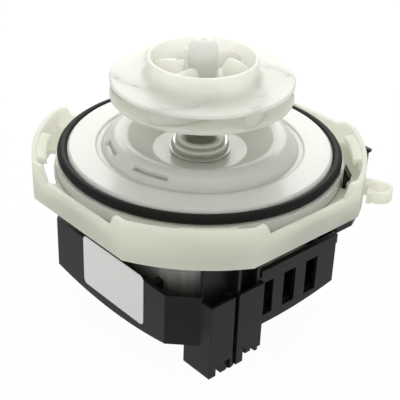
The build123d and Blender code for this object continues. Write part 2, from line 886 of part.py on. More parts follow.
seat_bottom_z = face_top_z
seat_top_z = seat_bottom_z + seat_length
save(tube(seat_radius, shaft_radius + boot_wall + fit_gap, seat_bottom_z, seat_top_z), "seal_seat")
with BuildPart() as seal_boot:
    with BuildSketch(Plane.XZ):
        with BuildLine():
            Polyline(
                (shaft_radius + fit_gap, seat_bottom_z + boot_wall),
                (shaft_radius + boot_wall, seat_bottom_z + boot_wall),
                (shaft_radius + boot_wall, seat_top_z + fit_gap),
                (seat_radius + fit_gap, seat_top_z + fit_gap),
                (seat_radius + fit_gap, seat_bottom_z + boot_wall),
                (seat_radius + boot_wall, seat_bottom_z + boot_wall),
                (seat_radius + boot_wall, seat_top_z + boot_wall),
                (shaft_radius + fit_gap, seat_top_z + boot_wall),
                close=True,
            )
        make_face()
    revolve(axis=Axis.Z)
save(seal_boot.part, "seal_boot")

# Front bracket: a ribbed plate that carries the front bush and clamps the stack
hub_floor_z = front_bush_z + bush_length / 2
with BuildPart() as front_bracket:
    with BuildSketch(Plane.XY.offset(bracket_bottom_z)):
        with BuildLine():
            Polyline(eight_corners(bracket_half, bracket_corner), close=True)
        make_face()
    extrude(amount=bracket_thickness)
    with BuildSketch(Plane.XY.offset(bracket_top_z)):
        Circle(bracket_ring_radius)
    extrude(amount=bracket_shelf)
    with BuildSketch(Plane.XY.offset(shelf_top_z)):
        Circle(bracket_ring_radius)
        Circle(bracket_ring_radius - bracket_ring_wall, mode=Mode.SUBTRACT)
    extrude(amount=flange_floor_z - flange_floor - shelf_top_z)
    # Air windows between the spokes
    with BuildSketch(Plane.XY.offset(bracket_bottom_z)):
        Circle(bracket_window_outer_radius)
        Circle(bracket_window_inner_radius, mode=Mode.SUBTRACT)
        with PolarLocations(0, bracket_spokes):
            with Locations((bracket_half / 2, 0)):
                Rectangle(bracket_half, spoke_width, mode=Mode.SUBTRACT)
    extrude(amount=bracket_thickness + bracket_shelf, mode=Mode.SUBTRACT)
    # Hub of the front bush, open downwards
    with BuildSketch(Plane.XY.offset(bracket_bottom_z)):
        Circle(bracket_hub_radius)
    extrude(amount=bracket_hub_top_z - bracket_bottom_z)
    with BuildSketch(Plane.XZ):
        with BuildLine():
            Polyline(
                (0, bracket_bottom_z),
                (retainer_radius, bracket_bottom_z),
                (retainer_radius, front_bush_z - felt_thickness / 2),
                (felt_radius + fit_gap, front_bush_z - felt_thickness / 2),
                (felt_radius + fit_gap, front_bush_z + felt_thickness / 2),
                (bush_radius + fit_gap, front_bush_z + felt_thickness / 2),
                (bush_radius + fit_gap, hub_floor_z),
                (shaft_radius + running_gap + cut_over, hub_floor_z),
                (shaft_radius + running_gap + cut_over, bracket_hub_top_z),
                (0, bracket_hub_top_z),
                close=True,
            )
        make_face()
    revolve(axis=Axis.Z, mode=Mode.SUBTRACT)
    # Posts that stand on the stack
    with BuildSketch(Plane.XY.offset(stack_top_z)):
        with GridLocations(2 * bolt_offset, 2 * bolt_offset, 2, 2):
            Circle(post_radius)
    extrude(amount=bracket_bottom_z - stack_top_z)
    with BuildSketch(Plane.XY.offset(stack_top_z)):
        with GridLocations(2 * bolt_offset, 2 * bolt_offset, 2, 2):
            Circle(bolt_radius)
    extrude(amount=bolt_bite, mode=Mode.SUBTRACT)
    with BuildSketch(Plane.XY.offset(bracket_bottom_z)):
        with PolarLocations(boss_circle_radius, 4, start_angle=boss_first_angle):
            Circle(screw_radius + fit_gap)
    extrude(amount=bracket_thickness + bracket_shelf, mode=Mode.SUBTRACT)
    # Corner pads below the flange, each with a snap hook through the flange floor
    pad_bottom_z = flange_foot_z - pad_thickness
    hook_ledge_z = flange_floor_z + catch_height + hook_ledge_gap
    hook_tip_z = flange_floor_z + hook_height
    hook_outer_radius = hook_radius + hook_thickness
    for pad_angle, hook_angle in zip(pad_angles, hook_angles):
        with BuildSketch(Plane.XY.offset(pad_bottom_z)):
            Circle(pad_radius)
            Rectangle(2 * pad_half, 2 * pad_half, mode=Mode.INTERSECT)
            with BuildLine():
                Polyline(wedge(pad_angle - pad_half_angle, pad_angle + pad_half_angle), close=True)
            make_face(mode=Mode.INTERSECT)
            Circle(pad_inner_radius, mode=Mode.SUBTRACT)
        extrude(amount=pad_thickness)
        with BuildSketch(upright_plane(hook_angle)):
            with BuildLine():
                Polyline(
                    (hook_radius, pad_bottom_z),
                    (hook_outer_radius, pad_bottom_z),
                    (hook_outer_radius, hook_ledge_z),
                    (hook_outer_radius + hook_barb, hook_ledge_z + hook_barb_slope),
                    (hook_radius + hook_thickness / 4, hook_tip_z),
                    (hook_radius, hook_tip_z),
                    close=True,
                )
            make_face()
        extrude(amount=hook_width / 2, both=True)
    # Tee latch on an arm outside the flange
    arm_start_y = pad_inner_radius
    arm_length = tee_y + tee_thickness / 2 - arm_start_y
    with BuildSketch(Plane.XY.offset(pad_bottom_z)):
        with Locations((tee_x, arm_start_y + arm_length / 2)):
            Rectangle(tee_stem_width, arm_length)
    extrude(amount=tee_arm_height)
    with BuildSketch(Plane.XY.offset(pad_bottom_z)):
        with Locations((tee_x, tee_y)):
            Rectangle(tee_stem_width, tee_thickness)
    extrude(amount=tee_top_z - pad_bottom_z)
    with BuildSketch(Plane.XY.offset(tee_top_z - tee_head_height)):
        with Locations((tee_x, tee_y)):
            Rectangle(tee_head_width, tee_thickness)
    extrude(amount=tee_head_height)
save(front_bracket.part, "front_bracket")

# Screws that hold the cover plate and the bracket together through the shelf
with BuildPart() as bracket_screws:
    with BuildSketch(Plane.XY.offset(bracket_bottom_z)):
        with PolarLocations(boss_circle_radius, 4, start_angle=boss_first_angle):
            Circle(screw_radius)
    extrude(amount=screw_length)
    with BuildSketch(Plane.XY.offset(bracket_bottom_z)):
        with PolarLocations(boss_circle_radius, 4, start_angle=boss_first_angle):
            Circle(screw_head_radius)
    extrude(amount=-screw_head_height)
    with BuildSketch(Plane.XY.offset(bracket_bottom_z - screw_head_height)):
        with PolarLocations(boss_circle_radius, 4, start_angle=boss_first_angle):
            RegularPolygon(screw_head_radius / 2, 6)
    extrude(amount=screw_head_height / 2, mode=Mode.SUBTRACT)
save(bracket_screws.part, "bracket_screws")

# Stator: a square stack with four salient poles
stack_middle_z = (stack_bottom_z + stack_top_z) / 2
yoke_inner_half = stack_half - yoke_width
bore_radius = rotor_radius + air_gap
with BuildPart() as stator_stack:
    with BuildSketch(Plane.XY.offset(stack_bottom_z)):
        with BuildLine():
            Polyline(eight_corners(stack_half, stack_corner), close=True)
        make_face()
        with BuildLine():
            Polyline(eight_corners(yoke_inner_half, yoke_corner), close=True)
        make_face(mode=Mode.SUBTRACT)
        pole_length = yoke_inner_half - bore_radius
        with PolarLocations(0, 4):
            with Locations((bore_radius + pole_length / 2, 0)):
                Rectangle(pole_length + shoe_thickness, pole_width)
        for turn in range(4):
            first = radians(90 * turn - shoe_half_angle)
            last = radians(90 * turn + shoe_half_angle)
            outer = bore_radius + shoe_thickness
            with BuildLine():
                Polyline(
                    (outer * cos(last), outer * sin(last)),
                    (bore_radius / 2 * cos(last), bore_radius / 2 * sin(last)),
                    (bore_radius / 2 * cos(first), bore_radius / 2 * sin(first)),
                    (outer * cos(first), outer * sin(first)),
                )
                middle = radians(90 * turn)
                ThreePointArc(
                    (outer * cos(first), outer * sin(first)),
                    (outer * cos(middle), outer * sin(middle)),
                    (outer * cos(last), outer * sin(last)),
                )
            make_face()
        Circle(bore_radius, mode=Mode.SUBTRACT)
        with GridLocations(2 * bolt_offset, 2 * bolt_offset, 2, 2):
            Circle(bolt_radius + fit_gap, mode=Mode.SUBTRACT)
    extrude(amount=stack_height)
save(stator_stack.part, "stator_stack")

# Coil bobbins and windings, one of each round every pole
cheek_inner = bore_radius + shoe_thickness + seat_gap
cheek_outer = yoke_inner_half - seat_gap - bobbin_cheek
hole_width = pole_width + 2 * seat_gap
hole_height = stack_height + 2 * seat_gap
coil_base = bobbin_wall + seat_gap
cheek_width = pole_width + 2 * (coil_base + coil_depth + coil_margin)
cheek_height = stack_height + 2 * (coil_base + coil_depth + coil_margin)
with BuildPart() as coil_bobbins:
    for turn in range(4):
        for distance in (cheek_inner, cheek_outer):
            with BuildSketch(side_plane(turn, distance, stack_middle_z)):
                RectangleRounded(cheek_width, cheek_height, coil_round)
                Rectangle(hole_width, hole_height, mode=Mode.SUBTRACT)
            extrude(amount=bobbin_cheek)
        with BuildSketch(side_plane(turn, cheek_inner + bobbin_cheek, stack_middle_z)):
            Rectangle(hole_width + 2 * bobbin_wall, hole_height + 2 * bobbin_wall)
            Rectangle(hole_width, hole_height, mode=Mode.SUBTRACT)
        extrude(amount=cheek_outer - cheek_inner - bobbin_cheek)
save(coil_bobbins.part, "coil_bobbins")
with BuildPart() as windings:
    for turn in range(4):
        with BuildSketch(side_plane(turn, cheek_inner + bobbin_cheek, stack_middle_z)):
            RectangleRounded(
                pole_width + 2 * (coil_base + coil_depth),
                stack_height + 2 * (coil_base + coil_depth),
                coil_round,
            )
            Rectangle(hole_width + 2 * bobbin_wall, hole_height + 2 * bobbin_wall, mode=Mode.SUBTRACT)
        extrude(amount=cheek_outer - cheek_inner - bobbin_cheek)
save(windings.part, "windings")

# Motor frame: four walls round the stack, a web with the rear bush, and the
# connector blocks with the terminal tower
inner_half = frame_half - frame_wall
inner_corner = frame_corner - bevel_share * frame_wall
with BuildPart() as motor_frame:
    with BuildSketch(Plane.XY.offset(frame_bottom_z)):
        with BuildLine():
            Polyline(eight_corners(frame_half, frame_corner), close=True)
        make_face()
    extrude(amount=frame_top_z - frame_bottom_z)
    for turn in range(4):
        with BuildSketch(side_plane(turn, frame_half, frame_bottom_z)):
            with BuildLine():
                bow = ThreePointArc((-frame_bow_half, 0), (0, -frame_bow), (frame_bow_half, 0))
                Line(bow @ 1, bow @ 0)
            make_face()
        extrude(amount=-frame_wall)
    with BuildSketch(Plane.XY.offset(web_top_z)):
        with BuildLine():
            Polyline(eight_corners(inner_half, inner_corner), close=True)
        make_face()
    extrude(amount=frame_top_z - web_top_z, mode=Mode.SUBTRACT)
    # Stiffeners below the web
    with BuildSketch(Plane.XY.offset(frame_bottom_z - stiffener_drop)):
        with PolarLocations(0, stiffener_count):
            with Locations((stiffener_reach / 2, 0)):
                Rectangle(stiffener_reach, stiffener_thickness)
    extrude(amount=stiffener_drop)
    # Posts below the stack
    with BuildSketch(Plane.XY.offset(web_top_z)):
        with GridLocations(2 * bolt_offset, 2 * bolt_offset, 2, 2):
            Circle(post_radius)
    extrude(amount=stack_bottom_z - web_top_z)
    # Ribs that centre the stack
    for turn in range(4):
        for place in (-locating_rib_place, locating_rib_place):
            if turn > 0 or place > 0:
                rib_middle_z = frame_top_z - locating_rib_height / 2
                with BuildSketch(side_plane(turn, stack_half + seat_gap, rib_middle_z)):
                    with Locations((place, 0)):
                        Rectangle(locating_rib, locating_rib_height)
                extrude(amount=inner_half + frame_wall / 2 - stack_half - seat_gap)
    # Lips along the top edge
    lip_middle_z = frame_lip_top_z - frame_lip_height / 2
    for turn in (1, 2):
        with BuildSketch(side_plane(turn, frame_half - frame_wall, lip_middle_z)):
            Rectangle(2 * frame_lip_half, frame_lip_height)
        extrude(amount=frame_wall + frame_lip)
    short_lip = frame_lip_half - tower_end_y + frame_lip
    with BuildSketch(side_plane(0, frame_half - frame_wall, lip_middle_z)):
        with Locations((frame_lip_half - short_lip / 2, 0)):
            Rectangle(short_lip, frame_lip_height)
    extrude(amount=frame_wall + frame_lip_shallow)
    # Air slots in the two opposite faces
    for turn, slot_side in ((0, 1), (2, -1)):
        with BuildSketch(side_plane(turn, inner_half - seat_gap, window_top_z - window_height / 2)):
            with Locations((slot_side * window_center, 0)):
                with GridLocations(window_pitch, 0, window_count, 1):
                    Rectangle(window_width, window_height)
        extrude(amount=frame_wall + cut_over, mode=Mode.SUBTRACT)
    # Air slots in the web
    with BuildSketch(Plane.XY.offset(frame_bottom_z)):
        with PolarLocations(vent_circle_radius, vent_count, start_angle=180 / vent_count):
            SlotOverall(vent_length, vent_width)
    extrude(amount=frame_web, mode=Mode.SUBTRACT)
    # Connector blocks
    for block_start, block_width in zip(block_starts, block_widths):
        block_middle = block_start + block_width / 2
        for inner_x, low_z, high_z in (
            (block_inner_x, block_bottom_z, web_top_z),
            (block_top_inner_x, web_top_z, block_top_z),
        ):
            with BuildSketch(Plane.XY.offset(low_z)):
                with Locations(((inner_x + block_outer_x) / 2, block_middle)):
                    Rectangle(block_outer_x - inner_x, block_width)
            extrude(amount=high_z - low_z)
    # Terminal tower between the blocks and the bracket
    pocket_floor_z = block_top_z - pocket_depth
    pocket_inner_x = block_top_inner_x + block_wall
    for block_start, block_width in zip(block_starts, block_widths):
        block_middle = block_start + block_width / 2
        with BuildSketch(Plane.XY.offset(pocket_floor_z)):
            with Locations(((pocket_inner_x + block_outer_x - block_wall) / 2, block_middle)):
                Rectangle(block_outer_x - block_wall - pocket_inner_x, block_width - 2 * block_wall)
        extrude(amount=pocket_depth + cut_over, mode=Mode.SUBTRACT)
        with BuildSketch(Plane.XY.offset(block_top_z)):
            with Locations(((pocket_inner_x + block_outer_x) / 2, block_middle)):
                Rectangle(block_outer_x - pocket_inner_x, block_width + 2 * block_wall)
        extrude(amount=frame_lip_top_z - block_top_z + cut_over, mode=Mode.SUBTRACT)
        with BuildSketch(Plane.XY.offset(block_bottom_z)):
            with Locations(((block_inner_x + block_outer_x) / 2, block_middle)):
                Rectangle(block_outer_x - block_inner_x - 2 * block_wall, block_width - 2 * block_wall)
        extrude(amount=socket_depth, mode=Mode.SUBTRACT)
    tower_height = bracket_bottom_z - pocket_floor_z
    with BuildSketch(Plane.XY.offset(pocket_floor_z)):
        with Locations((block_top_inner_x + tower_wall / 2, (tower_start_y + tower_end_y) / 2)):
            Rectangle(tower_wall, tower_end_y - tower_start_y)
        with Locations(*[((block_top_inner_x + tower_rib_reach) / 2, place) for place in tower_rib_places]):
            Rectangle(tower_rib_reach - block_top_inner_x, tower_wall)
    extrude(amount=tower_height)
    # Key notches in the outer walls of the sockets
    for notch_start, notch_width, notch_height in zip(key_notch_starts, key_notch_widths, key_notch_heights):
        with BuildSketch(Plane.XY.offset(block_bottom_z)):
            with Locations((block_outer_x - block_wall / 2, notch_start + notch_width / 2)):
                Rectangle(block_wall, notch_width)
        extrude(amount=notch_height, mode=Mode.SUBTRACT)
    # Round-ended latch tabs behind the notch and across the gap between the sockets
    tab_middle_z = block_bottom_z - latch_tab_drop + latch_tab_height / 2
    for tab_start, tab_width in zip(latch_tab_starts, latch_tab_widths):
        with BuildSketch(side_plane(0, block_outer_x - block_wall, tab_middle_z)):
            with Locations((tab_start + tab_width / 2, 0)):
                RectangleRounded(tab_width, latch_tab_height, tab_width / 3)
        extrude(amount=-latch_tab_thickness)
    # Boss of the rear bush, open upwards and blind below
    with BuildSketch(Plane.XY.offset(bearing_boss_bottom_z)):
        Circle(bearing_boss_radius)
    extrude(amount=web_top_z - bearing_boss_bottom_z)
    rear_seat_z = rear_bush_z - bush_length / 2
    with BuildSketch(Plane.XZ):
        with BuildLine():
            Polyline(
                (0, shaft_bottom_z - blind_depth),
                (shaft_radius + cut_over, shaft_bottom_z - blind_depth),
                (shaft_radius + cut_over, rear_seat_z),
                (bush_radius + fit_gap, rear_seat_z),
                (bush_radius + fit_gap, rear_bush_z - felt_thickness / 2),
                (felt_radius + fit_gap, rear_bush_z - felt_thickness / 2),
                (felt_radius + fit_gap, rear_bush_z + felt_thickness / 2),
                (retainer_radius, rear_bush_z + felt_thickness / 2),
                (retainer_radius, web_top_z),
                (0, web_top_z),
                close=True,
            )
        make_face()
    revolve(axis=Axis.Z, mode=Mode.SUBTRACT)
    # Holes of the through bolts
    with BuildSketch(Plane.XY.offset(frame_bottom_z)):
        with GridLocations(2 * bolt_offset, 2 * bolt_offset, 2, 2):
            Circle(bolt_radius + fit_gap)
    extrude(amount=stack_bottom_z - frame_bottom_z, mode=Mode.SUBTRACT)
    # Slots of the terminal blades
    blade_x = (pocket_inner_x + block_outer_x - block_wall) / 2
    blade_places = []
    for block_start, block_width, blade_count in zip(block_starts, block_widths, blade_counts):
        for blade in range(blade_count):
            blade_places.append((blade_x, block_start + block_width * (blade + 1) / (blade_count + 1)))
    with BuildSketch(Plane.XY.offset(blade_bottom_z)):
        with Locations(*blade_places):
            Rectangle(blade_depth, blade_width)
    extrude(amount=blade_top_z - blade_bottom_z, mode=Mode.SUBTRACT)
save(motor_frame.part, "motor_frame")

# Terminal blades
with BuildPart() as terminal_blades:
    with BuildSketch(Plane.XY.offset(blade_bottom_z)):
        with Locations(*blade_places):
            Rectangle(blade_depth, blade_width)
    extrude(amount=blade_top_z - blade_bottom_z)
save(terminal_blades.part, "terminal_blades")

# Through bolts of the motor
with BuildPart() as stator_bolts:
    with BuildSketch(Plane.XY.offset(frame_bottom_z)):
        with GridLocations(2 * bolt_offset, 2 * bolt_offset, 2, 2):
            Circle(bolt_radius)
    extrude(amount=stack_top_z - frame_bottom_z + bolt_bite)
    with BuildSketch(Plane.XY.offset(frame_bottom_z - bolt_head_height)):
        with GridLocations(2 * bolt_offset, 2 * bolt_offset, 2, 2):
            Circle(bolt_head_radius)
    extrude(amount=bolt_head_height)
    with BuildSketch(Plane.XY.offset(frame_bottom_z - bolt_head_height)):
        with GridLocations(2 * bolt_offset, 2 * bolt_offset, 2, 2):
            RegularPolygon(bolt_head_radius / 2, 6)
    extrude(amount=bolt_head_height / 2, mode=Mode.SUBTRACT)
save(stator_bolts.part, "stator_bolts")

# Rating plate, bare
with BuildPart() as label_plate:
    with BuildSketch(side_plane(3, frame_half, plate_top_z - plate_height / 2)):
        with Locations((plate_center_x, 0)):
            RectangleRounded(plate_width, plate_height, plate_corner)
    extrude(amount=plate_thick)
save(label_plate.part, "label_plate")
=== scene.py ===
"""The looks of a dishwasher circulation pump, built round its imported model."""

import math

import bmesh
import bpy
from mathutils import Matrix, Vector


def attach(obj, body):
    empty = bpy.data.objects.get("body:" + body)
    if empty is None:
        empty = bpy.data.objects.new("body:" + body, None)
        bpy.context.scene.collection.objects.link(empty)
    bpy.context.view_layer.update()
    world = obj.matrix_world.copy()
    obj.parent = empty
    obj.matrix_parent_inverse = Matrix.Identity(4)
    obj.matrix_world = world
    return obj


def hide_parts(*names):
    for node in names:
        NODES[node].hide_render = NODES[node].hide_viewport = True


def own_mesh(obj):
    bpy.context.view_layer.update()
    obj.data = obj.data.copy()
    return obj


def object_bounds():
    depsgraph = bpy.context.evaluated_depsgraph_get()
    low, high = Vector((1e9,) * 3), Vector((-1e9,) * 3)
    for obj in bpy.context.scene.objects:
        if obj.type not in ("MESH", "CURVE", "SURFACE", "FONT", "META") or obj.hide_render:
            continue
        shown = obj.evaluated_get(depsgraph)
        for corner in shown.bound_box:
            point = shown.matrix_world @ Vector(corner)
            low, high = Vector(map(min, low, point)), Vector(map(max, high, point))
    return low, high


bl_info = {
    "name": "Circulation pump looks",
    "version": (1, 0, 0),
    "blender": (4, 5, 0),
    "location": "3D View > Sidebar > Pump",
    "description": "Finishes, small details and the studio for a dishwasher circulation pump",
    "category": "Object",
}

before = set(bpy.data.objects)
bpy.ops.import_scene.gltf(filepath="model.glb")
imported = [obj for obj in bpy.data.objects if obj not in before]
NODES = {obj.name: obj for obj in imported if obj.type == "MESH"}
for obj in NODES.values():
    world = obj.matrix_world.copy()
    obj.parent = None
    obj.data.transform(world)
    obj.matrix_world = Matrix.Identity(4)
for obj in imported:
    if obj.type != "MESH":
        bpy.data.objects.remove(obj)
CAD_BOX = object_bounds()

# Fineness of the turned and swept meshes
TURN_STEPS = 128
VANE_STEPS = 72
COIL_STEPS = 32
WIRE_SIDES = 12
SHARP_DEGREES = 35
MERGE_DISTANCE = 1e-6

# Depth of a vane's root in the nose and of its foot in the disc
VANE_ROOT = 0.0005
VANE_SINK = 0.0004

# Radius of a vane's middle point, its lean there in degrees, and the sweep past the vane's end
VANE_MIDDLE = 0.024
VANE_MIDDLE_LEAN = 49
VANE_OVERRUN = 1.06

# A vane's edge in the open eye: distance from the axis, and height against its highest point
VANE_EDGE = (
    (0.0068, -0.0082),
    (0.0082, -0.0070),
    (0.0110, -0.0002),
    (0.0122, 0.0),
    (0.0160, -0.0009),
    (0.0190, -0.0022),
)
VANE_EDGE_AT_NECK = -0.0045

# Mark of the moulding gate on the nose: share of its radius, and height above the nose
GATE_MARK = ((1.0, 0.0008), (0.5, 0.0009), (0.3, 0.0003), (0.0, 0.0002))

# Colours that the panel leaves alone
WHITE = (1.0, 1.0, 1.0, 1.0)
INNER_LIGHT = (1.0, 1.0, 0.95)
RUST = (0.16, 0.075, 0.035)
CARBON = (0.03, 0.03, 0.032)
CERAMIC = (0.78, 0.77, 0.72)
OILED_FELT = (0.30, 0.26, 0.19)

# Share of plain white in the floor where the camera, a mirror or a clear surface sees it
FLOOR_WHITE = 0.97


def colour(name, text, default):
    """A colour that the panel can change."""
    return bpy.props.FloatVectorProperty(
        name=name, description=text, subtype="COLOR", size=3, min=0, max=1, default=default
    )


def length(name, text, default):
    """A length in metres that the panel can change."""
    return bpy.props.FloatProperty(name=name, description=text, unit="LENGTH", default=default)


def angle(name, text, degrees):
    """An angle that the panel can change."""
    return bpy.props.FloatProperty(
        name=name, description=text, subtype="ANGLE", default=math.radians(degrees)
    )


def number(name, text, default):
    """A number without a unit that the panel can change."""
    return bpy.props.FloatProperty(name=name, description=text, default=default)


def amount(name, text, default):
    """A whole number that the panel can change."""
    return bpy.props.IntProperty(name=name, description=text, default=default)


class PumpStudio(bpy.types.PropertyGroup):
    """The camera, the floor and the lamps."""

    camera_x: length("Camera X", "Camera's place in front of the slotted face", 0.29945)
    camera_y: length("Camera Y", "Camera's place beside the rating plate's face", -0.2744)
    camera_z: length("Camera Z", "Camera's height above the ring's shoulder", 0.21514)
    camera_heading: angle("Heading", "Direction of the camera's look, seen from above", 137.45)
    camera_pitch: angle("Pitch", "Angle that the camera looks down", 30.61)
    camera_roll: angle("Roll", "Turn of the camera about its own axis", 2.08)
    camera_lens: number("Lens", "Focal length in millimetres", 92.31)
    camera_shift: number("Shift", "Sideways shift of the frame", 0.0029)
    floor_size: length("Floor", "Side of the square floor", 6.0)
    floor_tone: colour("Floor tone", "Colour of the floor", (0.93, 0.93, 0.93))
    back_power: number("Back", "Watts of the lamp behind the pump", 5.8)
    top_power: number("Top", "Watts of the lamp above", 1.5)
    left_power: number("Left", "Watts of the lamp on the left", 0.1)
    ambient: number("Ambient", "Level of the light from all round", 0.73)


class PumpPlastics(bpy.types.PropertyGroup):
    """Colours of the plastic and rubber pieces."""

    flange_white: colour("Flange white", "Natural plastic of the flange", (0.93, 0.94, 0.81))
    plate_white: colour("Plate white", "Natural plastic of the cover plate", (0.87, 0.89, 0.79))
    impeller_white: colour("Impeller white", "Natural plastic of the impeller", (0.99, 0.99, 0.94))
    frame_black: colour("Frame black", "Black plastic of the motor frame", (0.007, 0.007, 0.007))
    bobbin_cream: colour("Bobbin cream", "Heat-proof plastic of the bobbins", (0.70, 0.67, 0.58))
    ring_black: colour("Ring black", "Rubber of the sealing ring", (0.010, 0.011, 0.010))
    label_white: colour("Label white", "Bare film of the rating plate", (0.80, 0.80, 0.785))
    edge_radius: length("Edge radius", "Softness of the moulded edges", 0.0005)


class PumpMetals(bpy.types.PropertyGroup):
    """Colours and scales of the metal pieces."""

    cup_steel: colour("Cup steel", "Pressed stainless sheet of the seal", (0.60, 0.61, 0.56))
    shaft_steel: colour("Shaft steel", "Ground stainless steel", (0.66, 0.66, 0.65))
    sheet_steel: colour("Sheet steel", "Edges of the stator's sheets", (0.86, 0.85, 0.80))
    copper: colour("Copper", "Enamelled winding wire", (0.50, 0.19, 0.07))
    aluminium: colour("Aluminium", "Cast end rings", (0.72, 0.72, 0.73))
    zinc: colour("Zinc", "Plating of the screws and bolts", (0.60, 0.60, 0.57))
    tin: colour("Tin", "Plating of the terminal blades", (0.70, 0.69, 0.65))
    bronze: colour("Bronze", "Sintered bushes", (0.42, 0.29, 0.13))
    sheet_pitch: length("Sheet pitch", "Height of one visible layer of sheets", 0.00105)
    wire_pitch: length("Wire pitch", "Distance between turns of wire", 0.00045)


class PumpImpeller(bpy.types.PropertyGroup):
    """Sizes of the impeller's lower half, its hub and its vanes."""

    disc_radius: length("Disc", "Radius of both discs", 0.040)
    disc_bottom: length("Disc underside", "Height of the lower disc's underside", 0.0284)
    disc_top: length("Disc top", "Height of the lower disc's top", 0.0300)
    upper_disc: length("Upper disc", "Height of the upper disc's underside", 0.0356)
    nose_radius: length("Nose", "Radius of the hub's nose", 0.0065)
    nose_top: length("Nose top", "Height of the nose's top", 0.0537)
    nose_round: length("Nose round", "Round of the nose's top", 0.0043)
    gate_radius: length("Gate", "Radius of the moulding gate's mark", 0.0012)
    eye_radius: length("Eye", "Radius inside the neck", 0.02235)
    vane_top: length("Vane top", "Highest point of a vane in the eye", 0.0447)
    vane_thickness: length("Vane", "Thickness of a vane", 0.0016)
    vane_reach: length("Vane reach", "Radius of a vane's outer end", 0.0396)
    vane_start: angle("Vane start", "Direction of the first vane's inner end", 18)
    vane_sweep: angle("Vane sweep", "Angle that a vane leans back over", 90)
    vane_count: amount("Vanes", "Number of vanes", 6)


class PumpSeal(bpy.types.PropertyGroup):
    """Sizes of the shaft seal's pressed cup and its spring."""

    foot_height: length("Foot height", "Height of the funnel that the foot stands on", 0.0016)
    foot_radius: length("Foot", "Radius of the cup's foot", 0.0134)
    bowl_radius: length("Bowl", "Widest radius of the lower bowl", 0.0130)
    bowl_height: length("Bowl height", "Height where the bowl is widest", 0.0042)
    bowl_round: length("Bowl round", "Round of the bowl's wall", 0.0028)
    dome_radius: length("Dome", "Widest radius of the dome", 0.0112)
    dome_height: length("Dome height", "Height of the dome's centre", 0.0067)
    dome_round: length("Dome round", "Round of the dome", 0.0026)
    mouth_radius: length("Mouth", "Radius of the hole for the carbon face", 0.0054)
    mouth_height: length("Mouth height", "Height of the mouth", 0.0112)
    bore_radius: length("Bore", "Radius inside the cup", 0.0096)
    bore_top: length("Bore top", "Height where the bore ends", 0.0075)
    press_radius: length("Press", "Radius of the barrel pressed into the plate", 0.0112)
    floor_radius: length("Floor hole", "Radius of the hole in the cup's floor", 0.0047)
    floor_height: length("Floor", "Height of the cup's floor inside", -0.0028)
    sheet: length("Sheet", "Thickness of the pressed sheet", 0.0007)
    coil_radius: length("Coil", "Radius of the spring's coils", 0.0072)
    coil_wire: length("Wire", "Thickness of the spring's wire", 0.0009)
    coil_top: length("Coil top", "Height of the spring's upper end", 0.00578)
    coil_turns: amount("Turns", "Turns of the spring", 4)
    face_travel: length("Face travel", "How far the carbon face can be pressed in", 0.0012)


class Socket:
    """A shader socket that takes part in sums as a number does."""

    def __init__(self, shader, link):
        self.shader = shader
        self.link = link

    def _sum(self, operation, first, second):
        return self.shader.node("ShaderNodeMath", {"operation": operation}, {0: first, 1: second})

    def __add__(self, other):
        return self._sum("ADD", self, other)

    def __radd__(self, other):
        return self._sum("ADD", other, self)

    def __mul__(self, other):
        return self._sum("MULTIPLY", self, other)

    def __rmul__(self, other):
        return self._sum("MULTIPLY", other, self)

    def __pow__(self, other):
        return self._sum("POWER", self, other)

    def call(self, operation, other=0.0):
        """The result of a Math operation such as SINE or MAXIMUM."""
        return self._sum(operation, self, other)


class Shader:
    """A material with one surface shader and sums for its patterns."""

    def __init__(self, name):
        self.material = bpy.data.materials.new(name)
        self.material.use_nodes = True
        self.tree = self.material.node_tree
        self.tree.nodes.clear()
        self.output = self.tree.nodes.new("ShaderNodeOutputMaterial")

    def node(self, kind, settings, sockets, output=0):
        """Add a node with its settings first and its sockets second."""
        made = self.tree.nodes.new(kind)
        for key, value in settings.items():
            setattr(made, key, value)
        for key, value in sockets.items():
            if isinstance(value, Socket):
                self.tree.links.new(value.link, made.inputs[key])
            else:
                made.inputs[key].default_value = value
        return Socket(self, made.outputs[output])

    def place(self):
        """The point on the object, in its own frame."""
        return self.node("ShaderNodeTexCoord", {}, {}, "Object")

    def parts(self):
        """The three coordinates of the point."""
        split = self.tree.nodes.new("ShaderNodeSeparateXYZ")
        self.tree.links.new(self.place().link, split.inputs[0])
        return [Socket(self, socket) for socket in split.outputs]

    def noise(self, scale, detail=2.0, stretch=(1, 1, 1)):
        """Soft noise; scale counts its waves in one metre."""
        where = self.node(
            "ShaderNodeMapping", {}, {"Vector": self.place(), "Scale": stretch}
        )
        sockets = {"Vector": where, "Scale": scale, "Detail": detail}
        return self.node("ShaderNodeTexNoise", {}, sockets, "Fac")

    def blend(self, factor, first, second):
        """A colour between two colours."""
        first = first if isinstance(first, Socket) else (*first, 1)
        second = second if isinstance(second, Socket) else (*second, 1)
        return self.node(
            "ShaderNodeMix", {"data_type": "RGBA"}, {0: factor, 6: first, 7: second}, 2
        )

    def bump(self, height, depth, normal=None):
        """A normal from a height pattern that is depth metres tall."""
        sockets = {"Strength": 1.0, "Distance": depth, "Height": height}
        if normal is not None:
            sockets["Normal"] = normal
        return self.node("ShaderNodeBump", {}, sockets)

    def soft_edges(self, radius):
        """A normal that rounds the sharp edges."""
        return self.node("ShaderNodeBevel", {"samples": 4}, {"Radius": radius})

    def finish(self, see_through=0.0, tint=(1, 1, 1), **sockets):
        """Join a Principled surface to the output, with a share of light that passes through."""
        named = {key.replace("_", " "): value for key, value in sockets.items()}
        surface = self.node("ShaderNodeBsdfPrincipled", {}, named)
        if see_through:
            passed = self.node("ShaderNodeBsdfTranslucent", {}, {"Color": (*tint, 1)})
            surface = self.node("ShaderNodeMixShader", {}, {0: see_through, 1: surface, 2: passed})
        self.tree.links.new(surface.link, self.output.inputs["Surface"])
        return self.material


def shade(tone, factor):
    """A darker or lighter version of a colour."""
    return tuple(min(1.0, part * factor) for part in tone)


